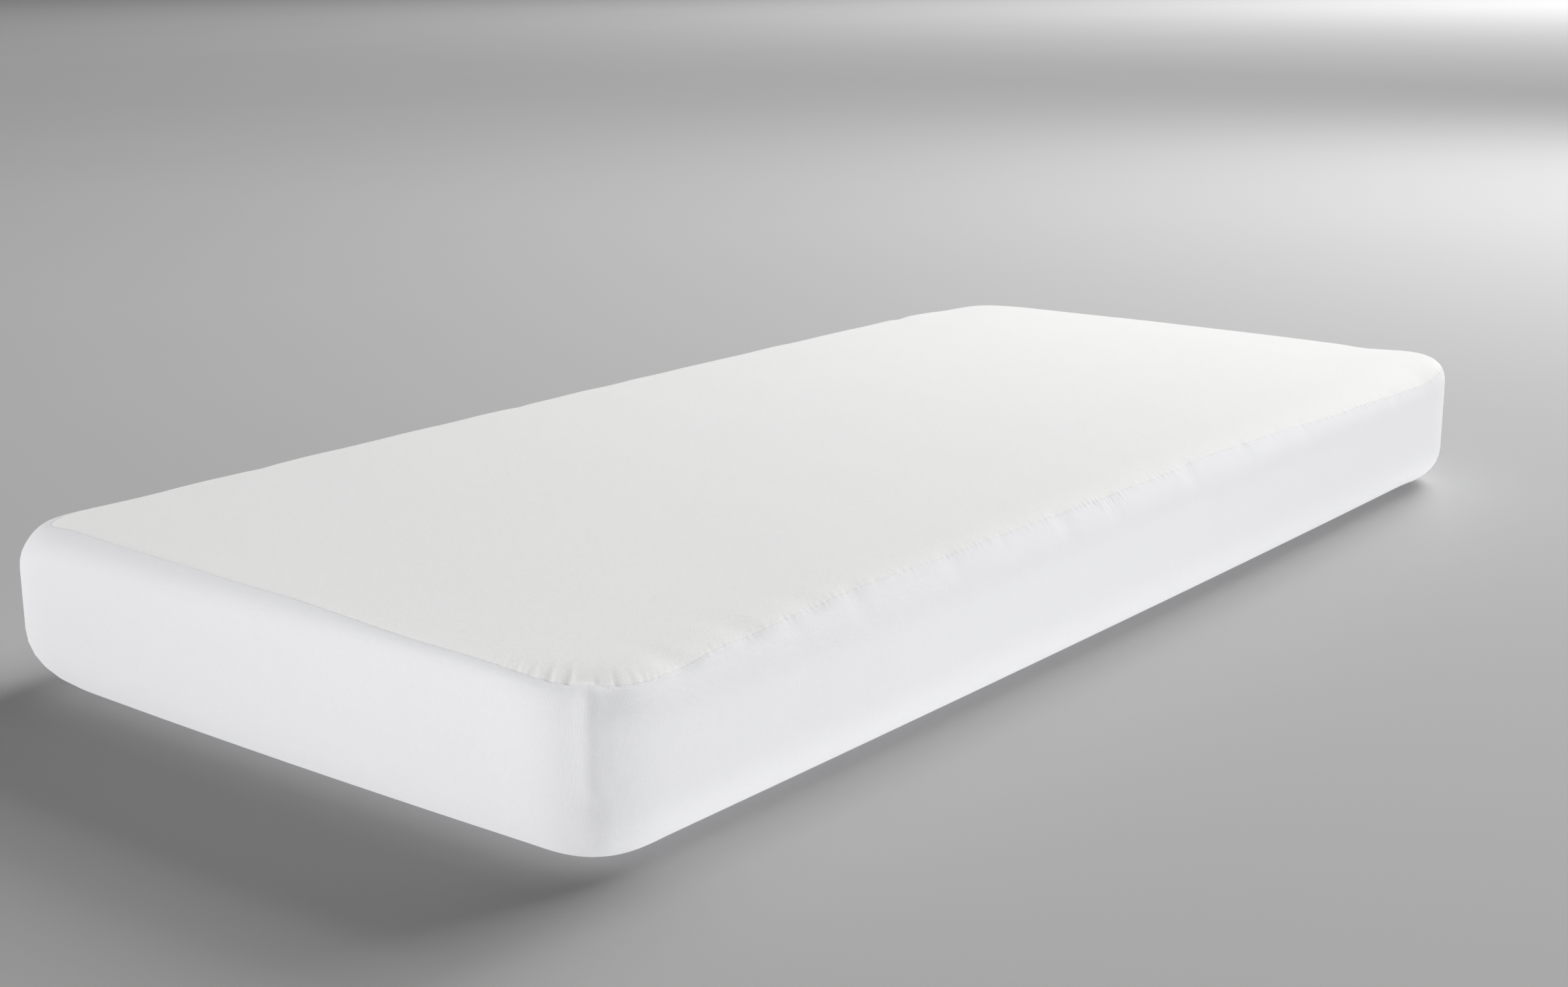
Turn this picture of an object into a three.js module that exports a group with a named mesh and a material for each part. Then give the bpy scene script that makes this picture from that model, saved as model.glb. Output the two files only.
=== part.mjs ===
// A waterproof mattress protector, fitted over the plain single mattress that it covers.
// Millimetres, +Z up, the long sides along Y, the middle of the base at the origin. The protector is two
// cloths: a top panel that lies on the mattress, and a skirt sewn to it along the crest, which falls down
// the sides, rounds under the mattress and ends in a turned hem. Cloths and mattress are closed solids.
import * as THREE from "three";

// Outside of the fitted cover.
const LENGTH = 1900;
const WIDTH = 912;
const EDGE_HEIGHT = 188; // top of the crest
const CROWN = 3.5; // rise of the flat middle above the crest
const CROWN_REACH = 165; // from the crest in to the flat middle
const CREST = { right: 57, back: 55, left: 55, front: 42 }; // radii at which the cloth rolls over the sides
const UNDER = 66; // radius at which it rolls in under the mattress
const BOW = { crest: 9, base: 6.6 }; // how far the sides swell out halfway along
const CORNER_POWER = 3.4; // 2 is a round corner in plan, more is squarer

// Cloth, hem and fit.
const CLOTH = 2;
const LIP = 90; // flat cloth under the mattress, hem included
const HEM = { width: 16, height: 5 };
const SEAM_GAP = 0.35; // between the two sewn edges
const SEAT = 0.3; // cloth to mattress where it lies flat
const CLEARANCE = 5; // cloth to mattress round the edges
const HEM_CLEARANCE = 3; // hem to the mattress beside it
const LANDING = 15; // run over which the mattress comes down onto the lip

// Corners of the cover: how far the rounding reaches along each side, and the radii of crest and underside.
const CORNERS = {
  front_right: { reach: 120, crest: 50, under: 61 },
  back_right: { reach: 156, crest: 33, under: 51 },
  back_left: { reach: 151, crest: 60, under: 66 },
  front_left: { reach: 117, crest: 50, under: 70 },
};

// Sides, anticlockwise from above: the way they run, the way they face, their two corners, and the number
// of steps between the corners on the cover and on the mattress.
const SIDES = [
  { name: "right", along: [0, 1], out: [1, 0], from: "front_right", to: "back_right", cover: 10, core: 6 },
  { name: "back", along: [-1, 0], out: [0, 1], from: "back_right", to: "back_left", cover: 5, core: 4 },
  { name: "left", along: [0, -1], out: [-1, 0], from: "back_left", to: "front_left", cover: 9, core: 6 },
  { name: "front", along: [1, 0], out: [0, -1], from: "front_left", to: "front_right", cover: 6, core: 4 },
];

// Where the seam lies on the crest, in degrees from the top towards the side. "at" is the place along the
// side, from its middle, the way the side runs.
const SEAM = [
  { side: "right", at: -870, angle: 48 },
  { side: "right", at: -720, angle: 40 },
  { side: "right", at: -565, angle: 34 },
  { side: "right", at: -340, angle: 36 },
  { side: "right", at: 50, angle: 39 },
  { side: "right", at: 128, angle: 36 },
  { side: "right", at: 330, angle: 41 },
  { side: "right", at: 520, angle: 50 },
  { side: "right", at: 800, angle: 57 },
  { side: "back", at: -200, angle: 50 },
  { side: "back", at: 250, angle: 42 },
  { side: "left", at: -500, angle: 38 },
  { side: "left", at: 500, angle: 30 },
  { side: "front", at: -415, angle: 24 },
  { side: "front", at: -350, angle: 9 },
  { side: "front", at: -180, angle: 12 },
  { side: "front", at: 0, angle: 18 },
  { side: "front", at: 255, angle: 34 },
  { side: "front", at: 400, angle: 43 },
];

// Folds pulled by the seam: where they cross it, how far they reach in over the panel and down the skirt,
// how far they lean along the side on the way in, half their width, and their depth.
const FOLDS = [
  { side: "right", at: -820, inward: 75, down: 16, lean: -84, width: 36, depth: 2.6 },
  { side: "right", at: -722, inward: 110, down: 14, lean: -84, width: 34, depth: 2.2 },
  { side: "right", at: -622, inward: 100, down: 12, lean: -95, width: 34, depth: 1.6 },
  { side: "right", at: -566, inward: 25, down: 50, lean: 0, width: 24, depth: 1.6 },
  { side: "right", at: -405, inward: 20, down: 45, lean: 0, width: 24, depth: 1.5 },
  { side: "right", at: -192, inward: 20, down: 60, lean: 0, width: 26, depth: 1.7 },
  { side: "right", at: 93, inward: 25, down: 45, lean: 0, width: 26, depth: 1.7 },
];

// How finely the curved stretches are stepped.
const CORNER_STEPS = { cover: 5, core: 4 }; // from the end of a side to the middle of its corner
const CREST_STEPS = { panel: 3, skirt: 3, core: 3 };
const UNDER_STEPS = { skirt: 4, core: 3 };
const CROWN_STEPS = { panel: 4, core: 3 };
const FOLD_STEPS = 4;

const MATERIALS = {
  top_panel: { color: "#e9e8e5", roughness: 0.95 },
  skirt: { color: "#e9eaee", roughness: 0.8 },
  mattress: { color: "#dddcd6", roughness: 0.9 },
};

const radians = THREE.MathUtils.degToRad;
const mix = THREE.MathUtils.lerp;
const smooth = (x) => THREE.MathUtils.smoothstep(x, 0, 1);
const bump = (x) => (Math.abs(x) < 1 ? (1 + Math.cos(Math.PI * x)) / 2 : 0);
const steps = (count) => Array.from({ length: count + 1 }, (_, i) => i / count);

// Outline in plan. A side is stepped by "place": -1 to 1 between its corners, and beyond that into the
// corner as a share of its reach, up to the corner's middle. Each corner is a quarter of a superellipse.
const MID_CORNER = 2 ** (-1 / CORNER_POWER);
const cornerDip = (share) => 1 - (1 - share ** CORNER_POWER) ** (1 / CORNER_POWER);
const reachAt = (corner, inset) => corner.reach ** 2 / (corner.reach + inset);

const halfAlong = (side) => (side.out[0] ? LENGTH : WIDTH) / 2 - BOW.crest;
const halfAcross = (side) => (side.out[0] ? WIDTH : LENGTH) / 2 - BOW.crest;

// The two ends of a side's straight stretch, at an inset from the outline.
function straightEnds(side, inset) {
  const half = halfAlong(side) - inset;
  return [reachAt(CORNERS[side.from], inset) - half, half - reachAt(CORNERS[side.to], inset)];
}

// The point of the outline at a place on a side, as distances along and out from the middle, before the
// side swells.
function outlineAt(side, place, inset) {
  const [low, high] = straightEnds(side, inset);
  const across = halfAcross(side) - inset;
  if (Math.abs(place) <= 1) return [mix(low, high, (place + 1) / 2), across];
  const reach = reachAt(CORNERS[place < 0 ? side.from : side.to], inset);
  const share = Math.abs(place) - 1;
  return [(place < 0 ? low : high) + Math.sign(place) * share * reach, across - reach * cornerDip(share)];
}

function placeOf(side, at) {
  const [low, high] = straightEnds(side, 0);
  if (at < low) return -1 - (low - at) / CORNERS[side.from].reach;
  if (at > high) return 1 + (at - high) / CORNERS[side.to].reach;
  return (2 * (at - low)) / (high - low) - 1;
}

// The middles of a side's two corners, along the side.
const sideEnds = (side) => [-1, 1].map((end) => outlineAt(side, end * (1 + MID_CORNER), 0)[0]);

// The way round the whole cover, counted along each side from corner middle to corner middle.
const lapStart = new Map();
const LAP = SIDES.reduce((lap, side) => {
  const [first, last] = sideEnds(side);
  lapStart.set(side.name, lap - first);
  return lap + last - first;
}, 0);

const seamRows = SEAM.map((row) => ({ lap: lapStart.get(row.side) + row.at, angle: row.angle }));

function seamAngle(lap) {
  const next = seamRows.findIndex((row) => row.lap > lap);
  const before = seamRows.at(next === -1 ? -1 : next - 1);
  const after = seamRows[next === -1 ? 0 : next];
  const span = (after.lap - before.lap + LAP) % LAP;
  return mix(before.angle, after.angle, smooth(((lap - before.lap + LAP) % LAP) / span));
}

// Sections round the cover, each with its own seam angle and rounding radii.
function sectionAt(side, place) {
  const corner = CORNERS[place < 0 ? side.from : side.to];
  const intoCorner = smooth((Math.abs(place) - 1) / MID_CORNER);
  const [at] = outlineAt(side, place, 0);
  const [first, last] = sideEnds(side);
  return {
    side,
    place,
    at,
    swell: 1 - ((2 * at - first - last) / (last - first)) ** 2,
    seam: seamAngle(lapStart.get(side.name) + at),
    crest: mix(CREST[side.name], corner.crest, intoCorner),
    under: mix(UNDER, corner.under, intoCorner),
  };
}

function cornerPlaces(count) {
  return steps(count)
    .slice(1)
    .map((t) => 1 + MID_CORNER * Math.sin((Math.PI / 2) * t));
}

// Places along a side, the corner's middle at its start included and the one at its end left to the next
// side. A fold brings its own places, and the plain ones too near them give way.
function placesOn(side, straightSteps, cornerSteps, folds) {
  const own = folds.flatMap((fold) =>
    steps(FOLD_STEPS).map((t) => placeOf(side, fold.at + (2 * t - 1) * fold.width + fold.lean / 2)),
  );
  const corner = cornerPlaces(cornerSteps);
  const plain = [
    ...corner.map((place) => -place),
    ...steps(straightSteps).map((t) => 2 * t - 1),
    ...corner.slice(0, -1),
  ];
  const nearest = 12 / halfAlong(side);
  const kept = plain.filter(
    (place) => place === -1 - MID_CORNER || own.every((other) => Math.abs(other - place) > nearest),
  );
  return [...kept, ...own].sort((a, b) => a - b);
}

function sectionsOf(name, folds) {
  return SIDES.flatMap((side) =>
    placesOn(
      side,
      side[name],
      CORNER_STEPS[name],
      folds.filter((fold) => fold.side === side.name),
    ).map((place) => sectionAt(side, place)),
  );
}

// Places on the cover's outside within a section: the inset from the outline, the height, the way the
// surface faces, and the run of cloth from the seam, inwards over the panel and negative down the skirt.
const arcLength = (radius, degrees) => radius * radians(degrees);
const crestRise = (section, inset) => smooth((inset - section.crest) / CROWN_REACH);

function onTop(section, share) {
  const inset = section.crest + share * CROWN_REACH;
  return {
    inset,
    z: EDGE_HEIGHT + CROWN * crestRise(section, inset),
    out: 0,
    up: 1,
    run: arcLength(section.crest, section.seam) + inset - section.crest,
  };
}

function onCrest(section, degrees) {
  const out = Math.sin(radians(degrees));
  const up = Math.cos(radians(degrees));
  return {
    inset: section.crest * (1 - out),
    z: EDGE_HEIGHT - section.crest * (1 - up),
    out,
    up,
    run: arcLength(section.crest, section.seam - degrees),
  };
}

function onSide(section, share) {
  const z = mix(EDGE_HEIGHT - section.crest, section.under, share);
  const foot = arcLength(section.crest, 90 - section.seam);
  return { inset: 0, z, out: 1, up: 0, run: z - EDGE_HEIGHT + section.crest - foot };
}

function onUnder(section, degrees) {
  const out = Math.cos(radians(degrees));
  const up = -Math.sin(radians(degrees));
  const { run } = onSide(section, 1);
  return {
    inset: section.under * (1 - out),
    z: section.under * (1 + up),
    out,
    up,
    run: run - arcLength(section.under, degrees),
  };
}

const onBase = (section, past, z) => ({ inset: section.under + past, z, out: 0, up: 0, run: -Infinity });

function foldDepth(section, run) {
  return FOLDS.filter((fold) => fold.side === section.side.name).reduce((depth, fold) => {
    const share = run > 0 ? run / fold.inward : -run / fold.down;
    const lean = run > 0 ? fold.lean * share : 0;
    return depth + fold.depth * bump((section.at - fold.at - lean) / fold.width) * (1 - smooth(share));
  }, 0);
}

// A place moved in from the cover's outside, as a point of the part.
function pointAt(section, place, inwards) {
  const z = place.z - inwards * place.up;
  const { side } = section;
  const [along, across] = outlineAt(side, section.place, place.inset + inwards * place.out);
  const out = across + section.swell * mix(BOW.base, BOW.crest, smooth(z / EDGE_HEIGHT));
  return new THREE.Vector3(
    along * side.along[0] + out * side.out[0],
    along * side.along[1] + out * side.out[1],
    z,
  );
}

// A closed solid from rings of points, one ring for each place of the profile and one point in it for each
// section. An open profile starts and ends on the middle line and is capped there.
function solidFrom(rings, closed) {
  const count = rings[0].length;
  const points = rings.flat();
  const faces = [];
  const strips = closed ? rings.length : rings.length - 1;
  for (let ring = 0; ring < strips; ring++) {
    const upper = ring * count;
    const lower = ((ring + 1) % rings.length) * count;
    for (let i = 0; i < count; i++) {
      const j = (i + 1) % count;
      faces.push(upper + i, lower + i, lower + j, upper + i, lower + j, upper + j);
    }
  }
  if (!closed) {
    const last = (rings.length - 1) * count;
    const top = points.push(new THREE.Vector3(0, 0, rings[0][0].z)) - 1;
    const bottom = points.push(new THREE.Vector3(0, 0, rings.at(-1)[0].z)) - 1;
    for (let i = 0; i < count; i++) {
      const j = (i + 1) % count;
      faces.push(top, i, j, bottom, last + j, last + i);
    }
  }
  const geometry = new THREE.BufferGeometry().setFromPoints(points);
  geometry.setIndex(faces);
  geometry.computeVertexNormals();
  return geometry;
}

function pieceOf(name, geometry) {
  const material = new THREE.MeshStandardMaterial({ ...MATERIALS[name], metalness: 0 });
  const piece = new THREE.Mesh(geometry, material);
  piece.name = name;
  return piece;
}

const ringOf = (sections, placeIn, inwards) =>
  sections.map((section) => {
    const place = placeIn(section);
    return pointAt(section, place, inwards + foldDepth(section, place.run));
  });

const sections = sectionsOf("cover", FOLDS);

// Half the gap between the sewn edges, as an angle on the crest.
const halfGap = (section) => THREE.MathUtils.radToDeg(SEAM_GAP / 2 / (section.crest - CLOTH));

// The top panel: flat middle, crown, and the rolled rim down to the seam.
function topPanel() {
  const profile = [
    ...steps(CROWN_STEPS.panel)
      .reverse()
      .map((t) => (section) => onTop(section, t)),
    ...steps(CREST_STEPS.panel)
      .slice(1)
      .map((t) => (section) => onCrest(section, t * (section.seam - halfGap(section)))),
  ];
  const outside = profile.map((place) => ringOf(sections, place, 0));
  const inside = profile.map((place) => ringOf(sections, place, CLOTH));
  return solidFrom([...outside, ...inside.reverse()], false);
}

// The skirt: from the seam over the crest, down the side, under the mattress and back over the turned hem.
function skirt() {
  const profile = [
    ...steps(CREST_STEPS.skirt).map(
      (t) => (section) => onCrest(section, mix(section.seam + halfGap(section), 90, t)),
    ),
    (section) => onSide(section, 0.5),
    ...steps(UNDER_STEPS.skirt).map((t) => (section) => onUnder(section, 90 * t)),
  ];
  const hem = [
    [LIP, 0],
    [LIP, HEM.height],
    [LIP - HEM.width, HEM.height],
    [LIP - HEM.width, CLOTH],
  ].map(([past, z]) => ringOf(sections, (section) => onBase(section, past, z), 0));
  const outside = profile.map((place) => ringOf(sections, place, 0));
  const inside = profile.map((place) => ringOf(sections, place, CLOTH));
  return solidFrom([...outside, ...hem, ...inside.reverse()], true);
}

// The mattress: a plain rounded block inside the cover. Its underside is pressed in over the lip and the
// hem, and lies on the floor inside them.
function mattress() {
  const core = sectionsOf("core", []);
  const edge = CLOTH + CLEARANCE;
  const hemStart = LIP - HEM.width;
  const flatRings = steps(CROWN_STEPS.core)
    .reverse()
    .map((t) =>
      core.map((section) => {
        const place = onTop(section, t);
        return pointAt(section, place, CLOTH + mix(CLEARANCE, SEAT, crestRise(section, place.inset)));
      }),
    );
  const edgeRings = [
    ...steps(CREST_STEPS.core)
      .slice(1)
      .map((t) => (section) => onCrest(section, 90 * t)),
    ...steps(UNDER_STEPS.core).map((t) => (section) => onUnder(section, 90 * t)),
  ].map((place) => core.map((section) => pointAt(section, place(section), edge)));
  const baseRings = [
    [LANDING, CLOTH + SEAT],
    [hemStart - HEM_CLEARANCE, CLOTH + SEAT],
    [hemStart - HEM_CLEARANCE, HEM.height + SEAT],
    [LIP + HEM_CLEARANCE, HEM.height + SEAT],
    [LIP + HEM_CLEARANCE, 0],
  ].map(([past, z]) => core.map((section) => pointAt(section, onBase(section, past, z), 0)));
  return solidFrom([...flatRings, ...edgeRings, ...baseRings], false);
}

const part = new THREE.Group();
part.add(pieceOf("top_panel", topPanel()), pieceOf("skirt", skirt()), pieceOf("mattress", mattress()));

export default part;
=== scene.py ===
"""The looks of a waterproof mattress protector, fitted over the plain single mattress that it covers.

Two cloths make the protector: a matte top panel, and a stretch jersey skirt sewn to it along the crest,
which falls down the sides, rounds in under the mattress and ends in a turned hem with elastic in it.
Both are thin closed sheets on the smooth shape of the frame's solids, moved off it by folds and gathers.
Metres, +Z up, the long sides along Y.
"""
from collections import namedtuple
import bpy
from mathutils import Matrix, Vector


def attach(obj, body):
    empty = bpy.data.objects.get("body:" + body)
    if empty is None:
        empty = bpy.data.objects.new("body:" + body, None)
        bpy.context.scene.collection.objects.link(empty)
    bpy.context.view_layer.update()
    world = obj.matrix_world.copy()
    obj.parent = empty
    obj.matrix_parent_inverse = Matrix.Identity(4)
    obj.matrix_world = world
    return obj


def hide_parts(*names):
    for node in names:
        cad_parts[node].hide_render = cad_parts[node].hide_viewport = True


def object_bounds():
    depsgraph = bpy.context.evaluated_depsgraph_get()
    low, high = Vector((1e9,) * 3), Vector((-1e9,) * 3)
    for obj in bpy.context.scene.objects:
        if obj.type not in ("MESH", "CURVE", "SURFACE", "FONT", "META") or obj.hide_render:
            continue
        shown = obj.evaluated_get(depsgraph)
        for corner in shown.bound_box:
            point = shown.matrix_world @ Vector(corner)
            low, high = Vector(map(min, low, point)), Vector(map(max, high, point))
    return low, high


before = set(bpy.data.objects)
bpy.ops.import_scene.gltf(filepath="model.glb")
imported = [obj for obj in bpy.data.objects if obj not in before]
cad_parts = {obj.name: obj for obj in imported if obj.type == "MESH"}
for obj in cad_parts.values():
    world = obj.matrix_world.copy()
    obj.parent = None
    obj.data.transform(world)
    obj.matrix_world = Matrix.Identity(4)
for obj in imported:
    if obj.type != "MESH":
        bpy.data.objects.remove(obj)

from types import SimpleNamespace

import bpy
import numpy as np
from mathutils import Matrix, Vector

CAD_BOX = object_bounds()
RANDOM = np.random.default_rng(seed=7)

# ---------------------------------------------------------------- sizes

# Outside of the fitted cover, and the radius of its rounding under the mattress.
WIDTH, LENGTH, TOP = CAD_BOX[1] - CAD_BOX[0]
CROWN = 0.0035  # rise of the flat middle above the crest
CROWN_REACH = 0.165  # from the crest in to the flat middle
EDGE_HEIGHT = TOP - CROWN
UNDER = 0.066
BOW_CREST, BOW_BASE = 0.009, 0.0066  # how far the sides swell out halfway along
CORNER_POWER = 3.4  # 2 is a round corner in plan, more is squarer

CLOTH = 0.002
LIP = 0.09  # flat cloth under the mattress, hem included
HEM_RIPPLE = 0.0016  # how high the elastic draws the cloth up under the mattress
HEM_GATHERS = 380  # small gathers round the hem
HEM_DRIFT, HEM_DRIFT_RATE = 0.6, 37  # how far they stray from an even spacing, and how often, in radians
PANEL_GROOVE, SKIRT_GROOVE = 0.016, 0.0045  # how far from the seam the two sewn edges turn in
PUFF_TOP, PUFF_REACH = 0.006, 0.034  # how far below the seam the puffed skirt stands highest, and ends
SEAT = 0.001  # cloth to mattress where it lies flat
CLEARANCE = 0.005  # cloth to mattress round the edges
UNEVEN, UNEVEN_LENGTH = 0.0004, 0.13  # how far the cloth wanders from its smooth shape, and over what length
WAVES, WAVES_HEIGHT = 12, 5  # how many waves make it wander, and about how high they stand together
WAVE_RATES = (0.6, 1.6)  # how fast one of them may rise and fall, by the length above

# Corners: how far the rounding reaches along each side, and the two radii there.
CORNERS = {
    "front_right": dict(reach=0.120, crest=0.050, under=0.061),
    "back_right": dict(reach=0.156, crest=0.033, under=0.051),
    "back_left": dict(reach=0.151, crest=0.060, under=0.066),
    "front_left": dict(reach=0.117, crest=0.050, under=0.070),
}

# Sides, anticlockwise from above: the way they run, the way they face, their two corners, and the radius of
# their crest.
SIDES = {
    "right": dict(along=(0, 1), out=(1, 0), start="front_right", end="back_right", crest=0.057),
    "back": dict(along=(-1, 0), out=(0, 1), start="back_right", end="back_left", crest=0.055),
    "left": dict(along=(0, -1), out=(-1, 0), start="back_left", end="front_left", crest=0.055),
    "front": dict(along=(1, 0), out=(0, -1), start="front_left", end="front_right", crest=0.042),
}

# Where the seam lies on the crest: side, place along it from its middle, degrees from the top.
SEAM = [
    ("right", -0.870, 48),
    ("right", -0.720, 40),
    ("right", -0.565, 34),
    ("right", -0.340, 36),
    ("right", 0.050, 39),
    ("right", 0.128, 36),
    ("right", 0.330, 41),
    ("right", 0.520, 50),
    ("right", 0.800, 57),
    ("back", -0.200, 50),
    ("back", 0.250, 42),
    ("left", -0.500, 38),
    ("left", 0.500, 30),
    ("front", -0.415, 24),
    ("front", -0.350, 9),
    ("front", -0.180, 12),
    ("front", 0.000, 18),
    ("front", 0.255, 34),
    ("front", 0.400, 43),
]

# How deep the two sewn edges turn in along it.
GROOVES = [
    ("front", -0.380, 0.0010),
    ("front", -0.200, 0.0018),
    ("front", 0.255, 0.0020),
    ("front", 0.400, 0.0014),
    ("right", -0.880, 0.0003),
    ("right", -0.780, 0.0000),
    ("right", 0.850, 0.0000),
    ("back", 0.000, 0.0004),
    ("left", 0.000, 0.0004),
]

# How high the skirt puffs out below it.
PUFFS = [
    ("front", -0.380, 0.0016),
    ("front", 0.200, 0.0018),
    ("front", 0.400, 0.0008),
    ("right", -0.880, 0.0004),
    ("right", -0.500, 0.0000),
    ("right", 0.850, 0.0000),
    ("back", 0.000, 0.0004),
    ("left", 0.000, 0.0004),
]

# Folds pulled by the seam: where they cross it, how far they reach in over the panel and down the skirt, how
# far they lean along the side on the way in, half their width, and their depth.
Fold = namedtuple("Fold", "side at inward down lean width depth")
FOLDS = [
    Fold("right", -0.816, 0.120, 0.016, -0.134, 0.032, 0.0024),
    Fold("right", -0.850, 0.110, 0.016, -0.120, 0.056, 0.0006),
    Fold("right", -0.722, 0.110, 0.014, -0.084, 0.034, 0.0029),
    Fold("right", -0.622, 0.100, 0.012, -0.095, 0.034, 0.0021),
    Fold("right", -0.664, 0.012, 0.040, 0.000, 0.020, 0.0008),
    Fold("right", -0.566, 0.020, 0.050, 0.000, 0.024, 0.0012),
    Fold("right", -0.405, 0.015, 0.045, 0.000, 0.024, 0.0010),
    Fold("right", -0.310, 0.010, 0.030, 0.000, 0.016, 0.0006),
    Fold("right", -0.192, 0.015, 0.060, 0.000, 0.026, 0.0012),
    Fold("right", -0.091, 0.010, 0.050, 0.000, 0.022, 0.0008),
    Fold("right", 0.093, 0.018, 0.045, 0.000, 0.026, 0.0012),
    Fold("right", 0.240, 0.010, 0.035, 0.000, 0.020, 0.0007),
    Fold("right", 0.400, 0.020, 0.040, 0.004, 0.030, 0.0009),
    Fold("right", 0.690, 0.018, 0.050, -0.006, 0.028, 0.0010),
    Fold("back", -0.330, 0.120, 0.060, 0.000, 0.090, 0.0030),
    Fold("back", -0.240, 0.050, 0.040, -0.006, 0.028, 0.0016),
    Fold("back", 0.130, 0.030, 0.055, 0.004, 0.030, 0.0013),
    Fold("left", -0.840, 0.150, 0.060, 0.000, 0.110, 0.0042),
    Fold("left", -0.700, 0.080, 0.030, 0.012, 0.030, 0.0020),
    Fold("left", -0.260, 0.025, 0.050, 0.000, 0.028, 0.0014),
    Fold("left", 0.180, 0.040, 0.045, -0.008, 0.030, 0.0015),
    Fold("left", 0.610, 0.030, 0.050, 0.006, 0.028, 0.0013),
]

# Crinkles pressed into the rolled rim by the near corner.
CRINKLES = [
    Fold("front", 0.342, 0.026, 0.003, 0.001, 0.006, 0.0005),
    Fold("front", 0.362, 0.030, 0.003, 0.002, 0.006, 0.0009),
    Fold("front", 0.383, 0.034, 0.003, 0.003, 0.007, 0.0014),
    Fold("front", 0.402, 0.038, 0.003, 0.004, 0.007, 0.0018),
    Fold("right", -0.917, 0.034, 0.003, 0.001, 0.007, 0.0015),
    Fold("right", -0.903, 0.030, 0.003, -0.002, 0.006, 0.0010),
    Fold("right", -0.888, 0.026, 0.003, -0.003, 0.006, 0.0007),
    Fold("right", -0.872, 0.022, 0.003, -0.004, 0.006, 0.0005),
]

# Creases that the mattress's corners press out of the skirt from inside: the side that starts at the corner,
# how far past the corner's middle, width, height, and the runs of cloth between which they stand.
Crease = namedtuple("Crease", "side past width height top bottom")
CREASES = [
    Crease("right", -0.0055, 0.012, 0.0036, 0.004, -0.098),
    Crease("right", 0.0130, 0.007, 0.0007, -0.020, -0.085),
    Crease("right", -0.0080, 0.014, 0.0012, -0.086, -0.170),
    Crease("right", 0.0055, 0.013, 0.0013, -0.090, -0.170),
    Crease("back", 0.0020, 0.016, 0.0006, -0.004, -0.110),
    Crease("left", -0.0010, 0.017, 0.0020, -0.004, -0.120),
]
CREASE_FADE = 0.006

# Gathers, small ridges across the seam where the longer cloth is eased onto the shorter one: where they
# start and end, their spacing, their reach over the panel and down the skirt, and their height.
Gather = namedtuple("Gather", "start end pitch inward down height")
GATHERS = [
    Gather(("right", -0.800), ("right", 0.900), 0.0085, 0.011, 0.008, 0.00060),
    Gather(("back", -0.400), ("back", 0.400), 0.0085, 0.012, 0.010, 0.00030),
    Gather(("left", -0.900), ("left", 0.900), 0.0090, 0.011, 0.009, 0.00025),
    Gather(("front", -0.400), ("front", 0.200), 0.0100, 0.006, 0.005, 0.00008),
    Gather(("front", 0.290), ("right", -0.820), 0.0062, 0.020, 0.004, 0.00055),
    Gather(("right", 0.840), ("back", -0.350), 0.0066, 0.022, 0.006, 0.00060),
    Gather(("back", 0.350), ("left", -0.860), 0.0066, 0.020, 0.006, 0.00060),
    Gather(("left", 0.860), ("front", -0.380), 0.0070, 0.016, 0.004, 0.00030),
    Gather(("right", -0.132), ("right", -0.052), 0.0036, 0.003, 0.024, 0.00060),
]
GATHER_LEAN = 0.2  # how far a gather may lean along the seam, by its reach
GATHER_STEP = (0.65, 1.35)  # from one to the next, by their pitch
GATHER_WIDTH = (0.45, 0.85)  # half the width of one, by their pitch
GATHER_REACH = (0.4, 1.25)  # the reach of one, by the reach in the table
GATHER_HEIGHT = (0.25, 1.2)  # the height of one, by the height in the table
GATHER_FADE = 3  # pitches over which they fade in and out

# Spacing of the sections round the cover, with the places that need a finer one. Coarser rings take every
# second, fourth or eighth of them.
HALF, QUARTER, EIGHTH = 2, 4, 8
SECTION_STEP = 0.0022
FINE_STRETCHES = [
    (("front", 0.330), ("right", -0.870), 0.0012),
    (("right", -0.140), ("right", -0.052), 0.0008),
]

# Places at which the outline is measured: along one side, and round the whole cover.
WALK_PLACES, LAP_PLACES = 3000, 20001

# Runs of cloth from the seam at which the rings of the meshes lie, and under the mattress how far in.
SEAM_RUNS = (0.00002, 0.00016, 0.0007, 0.0014, 0.0023, 0.0035, 0.0052, 0.0075, 0.0105, 0.0140, 0.0185, 0.0240)
RIM_RUNS = (0.030, 0.036, 0.043, 0.051, 0.060, 0.070, 0.082, 0.095, 0.110, 0.127)
FLAT_RUNS = (0.148, 0.172, 0.200)
MIDDLE_RUNS = (0.235, 0.275, 0.315, 0.355)
BASE_PASTS = (0.012, 0.026, 0.040, 0.052, 0.062, 0.070)
SIDE_RINGS, ROUNDING_RINGS, INSIDE_RINGS = 12, 8, 4  # of the skirt
BLOCK_TOP_RINGS, BLOCK_ROUNDING_RINGS, BLOCK_SIDE_RINGS = 6, 6, 2  # of the mattress
BLOCK_TOP_START = 0.02  # how far in past the crown the runs of the mattress's top start

# The turned hem: in from its inner edge, and height.
HEM_SHAPE = [
    (-0.0170, 0.0007),
    (-0.0155, 0.0002),
    (-0.0130, 0.0000),
    (-0.0060, 0.0000),
    (-0.0018, 0.0004),
    (0.0000, 0.0018),
    (0.0000, 0.0034),
    (-0.0018, 0.0047),
    (-0.0060, 0.0050),
    (-0.0130, 0.0050),
    (-0.0165, 0.0038),
    (-0.0175, 0.0022),
]

# The underside of the mattress: in from the end of its rounding, and height.
MATTRESS_BASE = [
    (0.015, 0.0045),
    (0.065, 0.0045),
    (0.069, 0.0080),
    (0.093, 0.0080),
    (0.096, 0.0040),
    (0.101, 0.0009),
    (0.108, 0.0000),
]

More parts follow.
